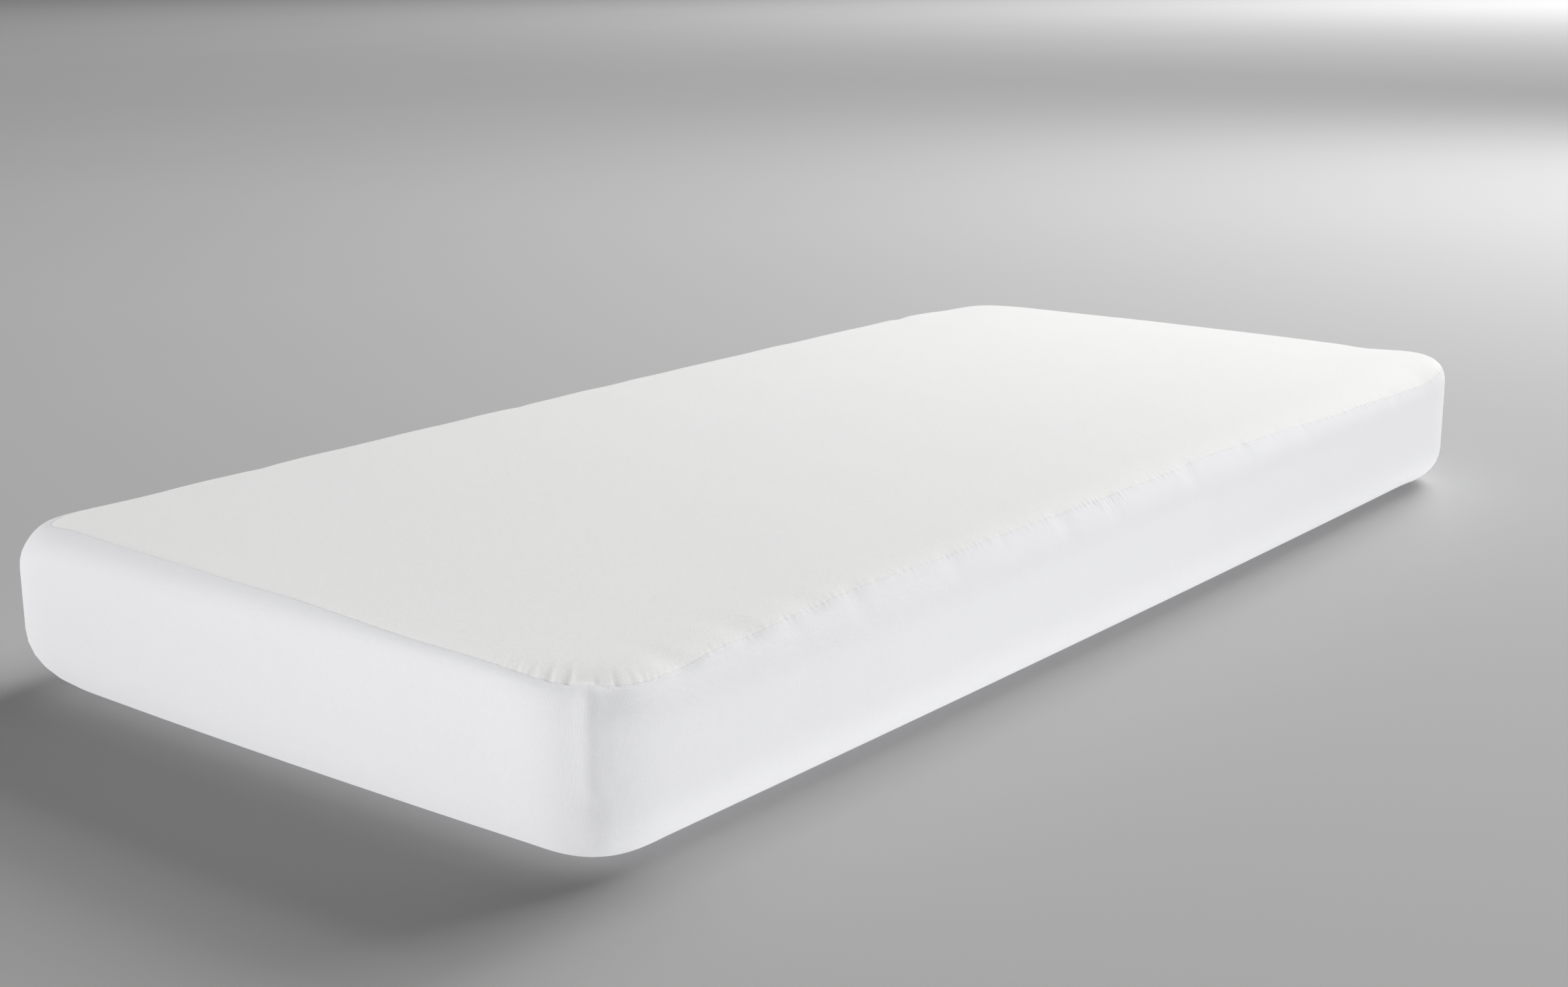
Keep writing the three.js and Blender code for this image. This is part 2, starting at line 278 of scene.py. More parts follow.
# Thread.
STITCH_RADIUS, STITCH_SUNK = 0.00015, 0.00006
STITCH_SIDES = 5
STITCH_ENDS = (0.2, 0.8)  # the thick middle of a stitch, from and to
NO_STITCH_WAY = (0.31, 0.17, 0.93)  # a direction in which no stitch runs
STITCH_PITCH, STITCH_REACH, STITCH_LEAN = 0.0021, 0.0009, 0.0007
HEM_STITCH_PITCH = 0.0034
HEM_STITCH_LENGTH, HEM_STITCH_SUNK = 0.72 * HEM_STITCH_PITCH, STITCH_RADIUS / 2
HEM_STITCH_ROWS = (-0.0125, -0.0075)

# Finishes.
PANEL_WHITE, PANEL_SHADE = (0.838, 0.835, 0.828), (0.820, 0.820, 0.818)
JERSEY_WHITE, JERSEY_SHADE = (0.832, 0.832, 0.848), (0.818, 0.818, 0.836)
TICKING_WHITE, TICKING_SHADE = (0.78, 0.765, 0.72), (0.74, 0.725, 0.68)
THREAD_WHITE, THREAD_SHADE = (0.86, 0.86, 0.86), (0.74, 0.74, 0.75)
WALE, ROW = 0.0013, 0.0010  # spacing of the jersey's knit, round the cover and down it
TICKING_SLANT = 0.6  # the way the twill runs, in radians
FLOOR_GREY, FLOOR_SHADE = (0.46, 0.46, 0.46), (0.44, 0.44, 0.44)

# Roughness, from and to.
PANEL_ROUGHNESS, JERSEY_ROUGHNESS = (0.88, 1.0), (0.7, 0.88)
TICKING_ROUGHNESS, THREAD_ROUGHNESS = (0.84, 0.95), (0.5, 0.65)

# What the fibres do to the colour: how much of it they add, and what share of it is there without them.
NAP_TINT, YARN_TINT = (0.16, 0.92), (0.08, 0.96)

# Heights in the relief of the cloths.
PANEL_LOOPS = 0.45  # the knit under the nap, by the nap
JERSEY_ROWS = 0.35  # the rows of the knit, by its wales
JERSEY_KNIT, JERSEY_YARN = 0.5, 1.2  # the whole knit, and its uneven yarn
TICKING_YARN = 0.6  # the uneven yarn, by the twill

# The studio. Lights: azimuth and elevation of where they stand, distance, size, power, and what they light.
# Those from below stand for the light that a white studio floor throws back up.
FLOOR_SIZE = 80.0
LIT_POINT = Vector((0, 0, 0.15))
Light = namedtuple("Light", "name azimuth elevation distance size power lit")
LIGHTS = [
    Light("left", 222, 15, 8.0, 4.0, 416, "object"),
    Light("right", 45, 15, 8.0, 4.0, 320, "object"),
    Light("front_near", 165, 10, 2.3, 1.0, 7.4, "object"),
    Light("right_near", 105, 10, 2.3, 1.0, 10.5, "object"),
    Light("back_high", 0, 50, 3.6, 1.6, 79, "object"),
    Light("bounce", 0, -90, 3.0, 4.0, 58, "object"),
    Light("corner_bounce", 135, -60, 3.6, 2.0, 28, "object"),
    Light("floor_near", 10, 35, 7.0, 4.0, 382, "floor"),
    Light("floor_back", 350, 24, 30.0, 12.0, 5600, "floor"),
    Light("floor_high", 0, 60, 60.0, 40.0, 7000, "floor"),
]
SKY_COLOUR = (1.0, 1.0, 1.0)
SKY_STRENGTH = 0.15

# The photograph's camera.
SENSOR, LENS = 36.0, 50.2
CAMERA_PLACE = Vector((1.634, -2.186, 0.790))
CAMERA_HEADING, CAMERA_DOWN, CAMERA_ROLL = 38.45, 14.285, -0.328

# ---------------------------------------------------------------- the way round the cover

MID_CORNER = 2 ** (-1 / CORNER_POWER)


def smooth(x):
    x = np.clip(x, 0, 1)
    return x * x * (3 - 2 * x)


def bump(x):
    return np.where(np.abs(x) < 1, (1 + np.cos(np.pi * x)) / 2, 0)


def mix(a, b, t):
    return a + (b - a) * t


def corner_dip(share):
    return 1 - (1 - np.clip(share, 0, 1) ** CORNER_POWER) ** (1 / CORNER_POWER)


def side_facts(name):
    """What the outline needs to know of a side, as single numbers."""
    side = SIDES[name]
    across, along = (WIDTH, LENGTH) if side["out"][0] else (LENGTH, WIDTH)
    start, end = CORNERS[side["start"]], CORNERS[side["end"]]
    return dict(
        along_x=side["along"][0],
        along_y=side["along"][1],
        out_x=side["out"][0],
        out_y=side["out"][1],
        half_along=along / 2 - BOW_CREST,
        half_across=across / 2 - BOW_CREST,
        reach_start=start["reach"],
        reach_end=end["reach"],
        crest_middle=side["crest"],
        crest_start=start["crest"],
        crest_end=end["crest"],
        under_start=start["under"],
        under_end=end["under"],
    )


def outline(sections, inset):
    """Distances along and out from the middle of each section's side, before the sides swell."""
    reach_start = sections.reach_start**2 / (sections.reach_start + inset)
    reach_end = sections.reach_end**2 / (sections.reach_end + inset)
    half = sections.half_along - inset
    low, high = reach_start - half, half - reach_end
    at_start = sections.place < 0
    share = np.abs(sections.place) - 1
    reach = np.where(at_start, reach_start, reach_end)
    corner_along = np.where(at_start, low - share * reach, high + share * reach)
    along = np.where(share > 0, corner_along, mix(low, high, (sections.place + 1) / 2))
    out = sections.half_across - inset - reach * corner_dip(share)
    return along, out


def walk_side(name):
    """Places on a side from corner middle to corner middle, how far along it each is, and the way there."""
    place = np.linspace(-1 - MID_CORNER, 1 + MID_CORNER, WALK_PLACES)
    along, out = outline(SimpleNamespace(place=place, **side_facts(name)), inset=0)
    way = np.concatenate([[0], np.cumsum(np.hypot(np.diff(along), np.diff(out)))])
    return SimpleNamespace(place=place, along=along, way=way)


WALKS = {name: walk_side(name) for name in SIDES}
STARTS = dict(zip(SIDES, np.cumsum([0] + [walk.way[-1] for walk in WALKS.values()])))
LAP = sum(walk.way[-1] for walk in WALKS.values())


def lap_at(side, at):
    """How far round the cover a place on a side is."""
    walk = WALKS[side]
    return STARTS[side] + np.interp(at, walk.along, walk.way)


def off(lap, centre):
    """Distance round the cover from a centre, either way."""
    return (lap - centre + LAP / 2) % LAP - LAP / 2


def round_seam(table, lap):
    """A value that changes smoothly from row to row of a table of sides, places and values."""
    rows = sorted((lap_at(side, at), value) for side, at, value in table)
    laps, values = np.array(rows[-1:] + rows + rows[:1]).T
    laps[0] -= LAP
    laps[-1] += LAP
    after = np.searchsorted(laps, lap, side="right").clip(1, len(laps) - 1)
    share = smooth((lap - laps[after - 1]) / (laps[after] - laps[after - 1]))
    return mix(values[after - 1], values[after], share)


def sections_at(lap):
    """The cover's sections at these distances round it, with all that the profile needs."""
    names = list(SIDES)
    which = np.searchsorted([STARTS[name] for name in names], lap, side="right") - 1
    facts = [side_facts(name) for name in names]
    values = {key: np.array([fact[key] for fact in facts])[which] for key in facts[0]}
    place, along, first, last = (np.empty_like(lap) for _ in range(4))
    for index, name in enumerate(names):
        here = which == index
        walk = WALKS[name]
        place[here] = np.interp(lap[here] - STARTS[name], walk.way, walk.place)
        along[here] = np.interp(place[here], walk.place, walk.along)
        first[here], last[here] = walk.along[0], walk.along[-1]
    into_corner = smooth((np.abs(place) - 1) / MID_CORNER)
    corner_crest = np.where(place < 0, values["crest_start"], values["crest_end"])
    corner_under = np.where(place < 0, values["under_start"], values["under_end"])
    return SimpleNamespace(
        lap=lap,
        place=place,
        swell=1 - ((2 * along - first - last) / (last - first)) ** 2,
        seam=np.radians(round_seam(SEAM, lap)),
        groove=round_seam(GROOVES, lap),
        puff=round_seam(PUFFS, lap),
        crest=mix(values["crest_middle"], corner_crest, into_corner),
        under=mix(UNDER, corner_under, into_corner),
        **values,
    )


def every(sections, step):
    """The sections that coarser rings take."""
    return SimpleNamespace(**{key: value[::step] for key, value in vars(sections).items()})


def all_laps():
    """Distances round the cover, closer together on the fine stretches, in a number that halves thrice."""
    fine = np.linspace(0, LAP, LAP_PLACES)
    density = np.full(fine.size, 1 / SECTION_STEP)
    for start, end, step in FINE_STRETCHES:
        density[(fine > lap_at(*start)) & (fine < lap_at(*end))] = 1 / step
    count = np.concatenate([[0], np.cumsum((density[1:] + density[:-1]) / 2 * np.diff(fine))])
    sections = EIGHTH * int(np.ceil(count[-1] / EIGHTH))
    return np.interp(np.arange(sections) / sections * count[-1], count, fine)


# ---------------------------------------------------------------- the cover's smooth shape


def crest_run(sections):
    return sections.crest * sections.seam


def side_run(sections):
    """Run of cloth from the seam to the straight side, negative as it goes down."""
    return -sections.crest * (np.pi / 2 - sections.seam)


def under_run(sections):
    return side_run(sections) - (EDGE_HEIGHT - sections.crest - sections.under)


def base_run(sections):
    return under_run(sections) - sections.under * np.pi / 2


def profile(sections, run):
    """Inset from the outline, height, and the way out and up, at runs of cloth from the seam."""
    crest, under = sections.crest, sections.under
    over, side = run - crest_run(sections), run - side_run(sections)
    below, base = under_run(sections) - run, base_run(sections) - run
    crest_angle = np.clip(sections.seam - run / crest, 0, np.pi / 2)
    under_angle = np.clip(below / under, 0, np.pi / 2)
    inset = np.where(
        side > 0,
        crest * (1 - np.sin(crest_angle)) + np.maximum(over, 0),
        under * (1 - np.cos(under_angle)) + np.maximum(base, 0),
    )
    crown = CROWN * smooth((inset - crest) / CROWN_REACH) * (over > 0)
    on_side = EDGE_HEIGHT - crest + side
    z = np.where(side > 0, EDGE_HEIGHT - crest * (1 - np.cos(crest_angle)) + crown, on_side)
    z = np.where(below > 0, under * (1 - np.sin(under_angle)), z)
    out = np.where(side > 0, np.sin(crest_angle), np.cos(under_angle))
    up = np.where(side > 0, np.cos(crest_angle), -np.sin(under_angle))
    return SimpleNamespace(inset=inset, z=z, out=out, up=up)


def points_at(sections, inset, z):
    along, out = outline(sections, inset)
    out = out + sections.swell * mix(BOW_BASE, BOW_CREST, smooth(z / EDGE_HEIGHT))
    x = along * sections.along_x + out * sections.out_x
    y = along * sections.along_y + out * sections.out_y
    return np.stack([x, y, z], -1)


# ---------------------------------------------------------------- what moves the cloth off it


def fold_depth(sections, run):
    depth = np.zeros(np.broadcast(sections.lap, run).shape)
    for fold in FOLDS + CRINKLES:
        share = np.where(run > 0, run / fold.inward, -run / fold.down)
        across = off(sections.lap, lap_at(fold.side, fold.at)) - np.where(run > 0, fold.lean * share, 0)
        depth += fold.depth * bump(across / fold.width) * (1 - smooth(share))
    return depth


def crease_height(sections, run):
    height = 0
    for crease in CREASES:
        across = off(sections.lap, STARTS[crease.side] + crease.past)
        along = smooth((crease.top - run) / CREASE_FADE) * smooth((run - crease.bottom) / CREASE_FADE)
        height = height + crease.height * np.exp(-((across / crease.width) ** 2)) * along
    return height


def draw_gathers():
    """The ridges of all gathers, each a little unlike the next."""
    ridges = []
    for gather in GATHERS:
        first = lap_at(*gather.start)
        length = (lap_at(*gather.end) - first) % LAP
        way = 0
        while way < length:
            fade = smooth(min(way, length - way) / (GATHER_FADE * gather.pitch))
            ridges.append(
                SimpleNamespace(
                    lap=first + way,
                    width=gather.pitch * RANDOM.uniform(*GATHER_WIDTH),
                    inward=gather.inward * RANDOM.uniform(*GATHER_REACH),
                    down=gather.down * RANDOM.uniform(*GATHER_REACH),
                    lean=RANDOM.uniform(-GATHER_LEAN, GATHER_LEAN),
                    height=gather.height * fade * RANDOM.uniform(*GATHER_HEIGHT),
                )
            )
            way += gather.pitch * RANDOM.uniform(*GATHER_STEP)
    return ridges


RIDGES = draw_gathers()


def gather_height(sections, run):
    height = np.zeros(np.broadcast(sections.lap, run).shape)
    for ridge in RIDGES:
        widest = ridge.width + GATHER_LEAN * max(ridge.inward, ridge.down)
        near = np.abs(off(sections.lap, ridge.lap)) < widest
        run_near = run[:, near]
        across = off(sections.lap[near], ridge.lap) - ridge.lean * run_near
        share = np.where(run_near > 0, run_near / ridge.inward, -run_near / ridge.down)
        height[:, near] += ridge.height * bump(across / ridge.width) * (1 - smooth(share))
    return height


def undulation(points, length, seed):
    """A slow uneven rise and fall of about one unit, over about this length."""
    random = np.random.default_rng(seed)
    total = 0
    for _ in range(WAVES):
        way = random.normal(size=3)
        way *= 2 * np.pi / length * random.uniform(*WAVE_RATES) / np.linalg.norm(way)
        total = total + np.sin(points @ way + random.uniform(0, 2 * np.pi)) / WAVES_HEIGHT
    return total


def groove_depth(sections, run):
    reach = np.where(run > 0, PANEL_GROOVE, SKIRT_GROOVE)
    return sections.groove * np.exp(-((run / reach) ** 2))


def puff_height(sections, run):
    rise = np.sin(np.pi / 2 * np.clip(-run / PUFF_TOP, 0, 1))
    fall = bump(np.clip((-run - PUFF_TOP) / (PUFF_REACH - PUFF_TOP), 0, 1))
    return sections.puff * rise * fall


def hem_lift(sections, run):
    """How high the elastic draws the cloth up under the mattress, in small gathers."""
    past = base_run(sections) - run
    drift = HEM_DRIFT * np.sin(HEM_DRIFT_RATE * sections.lap)
    wave = np.sin(2 * np.pi * (HEM_GATHERS * sections.lap / LAP + drift))
    return HEM_RIPPLE * smooth(past / LIP) * (1 + wave) / 2


def cloth_depth(sections, run, points):
    """How far the cloth lies in from the smooth shape."""
    slow = UNEVEN * undulation(points, UNEVEN_LENGTH, seed=3) * smooth(points[..., 2] / UNDER)
    pulled = fold_depth(sections, run) + groove_depth(sections, run) + hem_lift(sections, run)
    raised = gather_height(sections, run) + crease_height(sections, run) + puff_height(sections, run)
    return slow + pulled - raised


def cloth_rings(sections, runs, inwards=0.0):
    """Rings of the cloth at runs from the seam, which may differ from section to section."""
    run = np.broadcast_to(np.reshape(runs, (len(runs), -1)), (len(runs), sections.lap.size))
    at = profile(sections, run)
    depth = inwards + cloth_depth(sections, run, points_at(sections, at.inset, at.z))
    points = points_at(sections, at.inset + depth * at.out, at.z - depth * at.up)
    return [Ring(ring, sections.lap, ring_run) for ring, ring_run in zip(points, run)]


# ---------------------------------------------------------------- meshes


class Ring:
    """A closed ring of points round the cover, each with its distance round and its run from the seam."""

    def __init__(self, points, lap, run):
        self.points = points
        self.lap = lap
        self.run = np.broadcast_to(run, lap.shape)

    def __len__(self):
        return len(self.points)


def strip(upper, lower):
    """Faces between two rings of vertex numbers, one of which may have half as many as the other."""
    if len(upper) == len(lower):
        return list(zip(upper, lower, np.roll(lower, -1), np.roll(upper, -1)))
    many, few = (upper, lower) if len(upper) > len(lower) else (lower, upper)
    here, middle, there = many[::2], many[1::2], np.roll(many, -1)[1::2]
    few_there = np.roll(few, -1)
    faces = [*zip(here, few, middle), *zip(middle, few, few_there), *zip(middle, few_there, there)]
    return faces if many is upper else [face[::-1] for face in faces]


def mesh_from_rings(name, rings, closed):
    """A closed mesh. An open run of rings has its first and last ring filled by one flat face each."""
    numbers = np.split(np.arange(sum(map(len, rings))), np.cumsum([len(ring) for ring in rings])[:-1])
    points = np.concatenate([ring.points for ring in rings])
    cloth = np.concatenate([np.stack([ring.lap, ring.run], -1) for ring in rings])
    faces = [face for upper, lower in zip(numbers, numbers[1:]) for face in strip(upper, lower)]
    if closed:
        faces += strip(numbers[-1], numbers[0])
    else:
        faces += [tuple(numbers[0]), tuple(numbers[-1][::-1])]
    mesh = bpy.data.meshes.new(name)
    mesh.from_pydata(points.tolist(), [], [tuple(map(int, face)) for face in faces])
    mesh.shade_smooth()
    write_cloth_map(mesh, cloth)
    return mesh


def write_cloth_map(mesh, cloth):
    """Writes the way round and the run of cloth as a UV map in metres, joined up where the lap ends."""
    vertex = np.empty(len(mesh.loops), np.int32)
    mesh.loops.foreach_get("vertex_index", vertex)
    start = np.empty(len(mesh.polygons), np.int32)
    mesh.polygons.foreach_get("loop_start", start)
    uv = cloth[vertex].astype(np.float32)
    widest = np.maximum.reduceat(uv[:, 0], start)
    counts = np.diff(np.append(start, len(vertex)))
    crossing = np.repeat(widest, counts) - uv[:, 0] > LAP / 2
    uv[crossing, 0] += LAP
    layer = mesh.uv_layers.new(name="cloth")
    layer.uv.foreach_set("vector", uv.ravel())


# ---------------------------------------------------------------- the pieces


def make_top_panel(sections):
    """From the middle out over the rolled rim to the seam, then back to the middle on the inside."""
    half, quarter, eighth = (every(sections, step) for step in (HALF, QUARTER, EIGHTH))
    outside = [
        *cloth_rings(sections, SEAM_RUNS),
        *cloth_rings(half, RIM_RUNS),
        *cloth_rings(quarter, FLAT_RUNS),
        *cloth_rings(eighth, MIDDLE_RUNS),
    ]
    inside = [
        *cloth_rings(sections, SEAM_RUNS[:1], CLOTH),
        *cloth_rings(half, RIM_RUNS[::3], CLOTH),
        *cloth_rings(quarter, FLAT_RUNS[::2], CLOTH),
        *cloth_rings(eighth, MIDDLE_RUNS, CLOTH),
    ]
    return mesh_from_rings("panel_sheet", [*outside[::-1], *inside], closed=False)


def base_rings(sections, pasts, inwards=0.0):
    """Rings of the cloth that lies under the mattress, at distances in from the end of the rounding."""
    return cloth_rings(sections, [base_run(sections) - past for past in pasts], inwards)


def hem_rings(sections):
    """The turned hem, from the cloth under it round its inner edge and back on top."""
    run = base_run(sections) - LIP
    lift = hem_lift(sections, run)
    rings = []
    for past, height in HEM_SHAPE:
        inset = sections.under + LIP + past
        rings.append(Ring(points_at(sections, inset, height + lift), sections.lap, run + height))
    return rings


def between(first, last, count):
    """Runs from one to another, the last one included."""
    return [mix(first, last, share) for share in np.linspace(0, 1, count + 1)[1:]]


def make_skirt(sections):
    """From the seam down the outside and under the mattress, round the hem, and back up on the inside."""
    half = every(sections, HALF)
    seam_runs = [-run for run in SEAM_RUNS]
    outside = [
        *cloth_rings(sections, seam_runs),
        *cloth_rings(half, between(seam_runs[-1], under_run(half), SIDE_RINGS)),
        *cloth_rings(half, between(under_run(half), base_run(half), ROUNDING_RINGS)),
        *base_rings(half, BASE_PASTS),
    ]
    inside = [
        *base_rings(half, BASE_PASTS[::-2], CLOTH),
        *cloth_rings(half, between(base_run(half), under_run(half), INSIDE_RINGS), CLOTH),
        *cloth_rings(half, between(under_run(half), seam_runs[-1], INSIDE_RINGS), CLOTH),
        *cloth_rings(sections, seam_runs[:1], CLOTH),
    ]
    return mesh_from_rings("skirt_sheet", [*outside, *hem_rings(half), *inside], closed=True)


def make_mattress(sections):
    """A plain rounded block inside the cover, pressed in underneath over the lip and the hem."""
    crest, side = crest_run(sections), side_run(sections)
    under, base = under_run(sections), base_run(sections)

    def rings_at(runs):
        rings = []
        for run in runs:
            at = profile(sections, np.broadcast_to(run, sections.lap.shape))
            to_edge = smooth((crest + CROWN_REACH - run) / CROWN_REACH)
            inwards = mix(CLOTH + SEAT, CLOTH + CLEARANCE, to_edge)
            points = points_at(sections, at.inset + inwards * at.out, at.z - inwards * at.up)
            rings.append(Ring(points, sections.lap, run))
        return rings

    top = rings_at(between(crest + CROWN_REACH + BLOCK_TOP_START, crest, BLOCK_TOP_RINGS))
    rounding = rings_at(
        [
            *between(crest, side, BLOCK_ROUNDING_RINGS),
            *between(side, under, BLOCK_SIDE_RINGS),
            *between(under, base, BLOCK_ROUNDING_RINGS),
        ]
    )
    underside = [
        Ring(points_at(sections, sections.under + past, np.full_like(sections.lap, z)), sections.lap, -past)
        for past, z in MATTRESS_BASE
    ]
    return mesh_from_rings("mattress_block", [*top, *rounding, *underside], closed=False)


def make_stitches(name, starts, ends, radius):
    """Short bits of thread from one point to another, each a little spindle."""
    starts, ends = np.asarray(starts), np.asarray(ends)
    way = ends - starts
    way /= np.linalg.norm(way, axis=1, keepdims=True)
    side = np.cross(way, NO_STITCH_WAY)
    side /= np.linalg.norm(side, axis=1, keepdims=True)
    other = np.cross(way, side)
    turns = np.linspace(0, 2 * np.pi, STITCH_SIDES, endpoint=False)
    points = [starts]
    for share in STITCH_ENDS:
        centre = mix(starts, ends, share)
        points += [centre + radius * (np.cos(turn) * side + np.sin(turn) * other) for turn in turns]
    points.append(ends)
    low, high, tip = 1, 1 + STITCH_SIDES, 1 + 2 * STITCH_SIDES
    faces = []
    for a in range(STITCH_SIDES):
        b = (a + 1) % STITCH_SIDES
        faces += [(0, low + b, low + a), (low + a, low + b, high + b, high + a), (tip, high + a, high + b)]
    firsts = range(0, len(starts) * len(points), len(points))
    every_face = [tuple(first + corner for corner in face) for first in firsts for face in faces]
    mesh = bpy.data.meshes.new(name)
    mesh.from_pydata(np.stack(points, 1).reshape(-1, 3).tolist(), [], every_face)
    mesh.shade_smooth()
    return mesh


def surface_points(sections, runs, inwards):
    """One point of the cloth's outside for each section, each at its own run from the seam."""
    return cloth_rings(sections, [runs], inwards)[0].points


def make_seam_stitches():
    """The thread that shows in the groove of the seam, a little slanted across it."""
    laps = np.arange(0, LAP, STITCH_PITCH)
    reach = np.full_like(laps, STITCH_REACH)
    upper = surface_points(sections_at(laps), reach, STITCH_SUNK)
    lower = surface_points(sections_at((laps + STITCH_LEAN) % LAP), -reach, STITCH_SUNK)
    return make_stitches("seam_stitches", upper, lower, STITCH_RADIUS)


def make_hem_stitches():
    """Two rows of straight stitches that hold the hem, on the side that faces the floor."""
    starts, ends = [], []
    for past in HEM_STITCH_ROWS:
        laps = np.arange(0, LAP, HEM_STITCH_PITCH)
        for lap, points in ((laps, starts), (laps + HEM_STITCH_LENGTH, ends)):
            sections = sections_at(lap % LAP)
            points.append(surface_points(sections, base_run(sections) - LIP - past, HEM_STITCH_SUNK))
    return make_stitches("hem_stitches", np.concatenate(starts), np.concatenate(ends), STITCH_RADIUS)


def add_piece(mesh, material, node=None):
    piece = bpy.data.objects.new(mesh.name, mesh)
    bpy.context.scene.collection.objects.link(piece)
    mesh.materials.append(material)
    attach(piece, "root")
    if node:
        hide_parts(node)
    return piece


# ---------------------------------------------------------------- materials


def new_material(name, colour, roughness, specular, sheen=0.0, sheen_roughness=0.5):
    """A Principled material, and its node tree and shader. What is the same all over is set on the shader."""
    material = bpy.data.materials.new(name)
    material.use_nodes = True
    shader = material.node_tree.nodes["Principled BSDF"]
    shader.inputs["Base Color"].default_value = (*colour, 1)
    shader.inputs["Roughness"].default_value = roughness
    shader.inputs["Specular IOR Level"].default_value = specular
    shader.inputs["Sheen Weight"].default_value = sheen
    shader.inputs["Sheen Roughness"].default_value = sheen_roughness
    return material, material.node_tree, shader


def add_node(tree, kind, **settings):
    """A node with its inputs or settings given by name. An input that is a socket is linked."""
    node = tree.nodes.new(kind)
    for name, value in settings.items():
        if name in node.bl_rna.properties:
            setattr(node, name, value)
        elif isinstance(value, bpy.types.NodeSocket):
            tree.links.new(value, node.inputs[name])
        else:
            node.inputs[name].default_value = value
    return node


def place_in_object(tree):
    return add_node(tree, "ShaderNodeTexCoord").outputs["Object"]


def noise(tree, place, scale, detail=2.0, roughness=0.5):
    settings = dict(Vector=place, Scale=scale, Detail=detail, Roughness=roughness)
    return add_node(tree, "ShaderNodeTexNoise", **settings).outputs["Fac"]


# The Mix node keeps sockets of its own for each kind of value: two inputs, and the result.
MIX_NUMBERS, MIX_COLOURS = ("FLOAT", 2, 3, 0), ("RGBA", 6, 7, 2)


def blended(tree, share, first, second):
    """A colour between two, or a number between two, by a share."""
    colours = isinstance(first, tuple)
    kind, a, b, result = MIX_COLOURS if colours else MIX_NUMBERS
    node = add_node(tree, "ShaderNodeMix", data_type=kind)
    tree.links.new(share, node.inputs[0])
    node.inputs[a].default_value = (*first, 1) if colours else first
    node.inputs[b].default_value = (*second, 1) if colours else second
    return node.outputs[result]


def maths(tree, operation, *values):
    node = tree.nodes.new("ShaderNodeMath")
    node.operation = operation
    for socket, value in zip(node.inputs, values):
        if isinstance(value, bpy.types.NodeSocket):
            tree.links.new(value, socket)
        else:
            socket.default_value = value
    return node.outputs[0]


def add_bump(tree, shader, height, distance):
    node = add_node(tree, "ShaderNodeBump", Height=height, Distance=distance, Strength=1.0)
    tree.links.new(node.outputs["Normal"], shader.inputs["Normal"])


def colour_by(tree, shader, tint, share):
    """Gives the shader a colour times a share that varies."""
    colour = add_node(tree, "ShaderNodeVectorMath", operation="SCALE")
    tree.links.new(tint, colour.inputs[0])
    tree.links.new(share, colour.inputs["Scale"])
    tree.links.new(colour.outputs[0], shader.inputs["Base Color"])


def make_panel_cloth():
    """Matte absorbent cloth: a short fibrous nap over a fine knit, a shade warmer and cooler in patches."""
    material, tree, shader = new_material(
        "panel_cloth", PANEL_WHITE, roughness=0.95, specular=0.2, sheen=0.2, sheen_roughness=0.6
    )
    place = place_in_object(tree)
    nap = noise(tree, place, scale=620, detail=3, roughness=0.65)
    loops = add_node(tree, "ShaderNodeTexVoronoi", Vector=place, Scale=760).outputs["Distance"]
    patches = noise(tree, place, scale=5.5, detail=3)
    height = maths(tree, "ADD", nap, maths(tree, "MULTIPLY", loops, PANEL_LOOPS))
    tint = blended(tree, patches, PANEL_SHADE, PANEL_WHITE)
    colour_by(tree, shader, tint, maths(tree, "MULTIPLY_ADD", nap, *NAP_TINT))
    tree.links.new(blended(tree, nap, *PANEL_ROUGHNESS), shader.inputs["Roughness"])
    add_bump(tree, shader, height, distance=0.00035)
    return material


def make_skirt_jersey():
    """Smooth stretch jersey: fine wales that run down the skirt, crossed by the rows of the knit."""
    material, tree, shader = new_material(
        "skirt_jersey", JERSEY_WHITE, roughness=0.8, specular=0.3, sheen=0.15, sheen_roughness=0.4
    )
    cloth = add_node(tree, "ShaderNodeUVMap", uv_map="cloth").outputs["UV"]
    axes = add_node(tree, "ShaderNodeSeparateXYZ", Vector=cloth)
    wale = maths(tree, "SINE", maths(tree, "MULTIPLY", axes.outputs["X"], 2 * np.pi / WALE))
    row = maths(tree, "SINE", maths(tree, "MULTIPLY", axes.outputs["Y"], 2 * np.pi / ROW))
    place = place_in_object(tree)
    yarn = noise(tree, place, scale=900)
    streaks = noise(tree, place, scale=7, detail=3)
    knit = maths(tree, "MULTIPLY_ADD", row, JERSEY_ROWS, wale)
    height = maths(tree, "MULTIPLY_ADD", yarn, JERSEY_YARN, maths(tree, "MULTIPLY", knit, JERSEY_KNIT))
    tint = blended(tree, streaks, JERSEY_SHADE, JERSEY_WHITE)
    colour_by(tree, shader, tint, maths(tree, "MULTIPLY_ADD", yarn, *YARN_TINT))
    tree.links.new(blended(tree, yarn, *JERSEY_ROUGHNESS), shader.inputs["Roughness"])
    add_bump(tree, shader, height, distance=0.00012)
    return material


